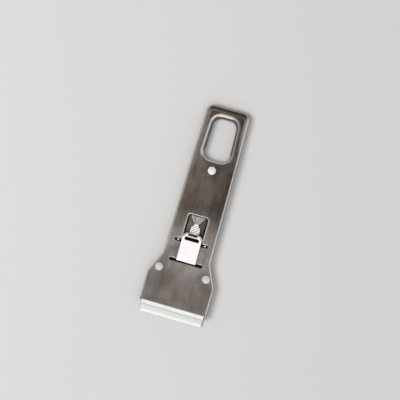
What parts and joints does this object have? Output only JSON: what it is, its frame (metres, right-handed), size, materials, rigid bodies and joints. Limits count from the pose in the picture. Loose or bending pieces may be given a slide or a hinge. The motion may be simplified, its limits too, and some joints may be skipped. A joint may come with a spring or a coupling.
{
  "type": "hob scraper",
  "caption": "Flat pressed-steel hand scraper for glass-ceramic hobs: a blade slides out of the mouth under a thumb slider, with a hang hole in the handle.",
  "frame": {"origin": "middle of the whole scraper's box, on the face it lies on, with the blade out", "axes": "+Y from the blade to the handle end, +Z out of the front face with the thumb slider, +X to the right seen from the front with the blade down"},
  "size_m": [0.044, 0.1386, 0.0078],
  "materials": {
    "shell_steel": "satin, brushed along the handle",
    "plate_steel": "satin",
    "rivet_metal": "tumbled, pale",
    "carrier_steel": "blackened",
    "blade_steel": "ground",
    "spring_steel": "polished"
  },
  "bodies": {
    "housing": {"front_shell": "shell_steel", "back_plate": "plate_steel", "handle_rivet": "rivet_metal", "left_shoulder_rivet": "rivet_metal", "right_shoulder_rivet": "rivet_metal", "handle_spacer": "plate_steel", "left_shoulder_spacer": "plate_steel", "right_shoulder_spacer": "plate_steel"},
    "carriage": {"blade_carrier": "carrier_steel", "left_blade_peg": "carrier_steel", "right_blade_peg": "carrier_steel", "blade": "blade_steel"},
    "thumb_spring": {"thumb_slider": "spring_steel"}
  },
  "joints": [
    {"name": "carriage_slide", "type": "slide", "parent": "housing", "child": "carriage", "axis": [0, 1, 0], "range_m": [0, 0.0065]},
    {"name": "thumb_press", "type": "hinge", "parent": "carriage", "child": "thumb_spring", "pos_m": [0, -0.03745, 0.0012], "axis": [1, 0, 0], "range_deg": [-2.5, 0], "stiffness_Nm_per_rad": 0.2, "springref_deg": 1.72}
  ]
}
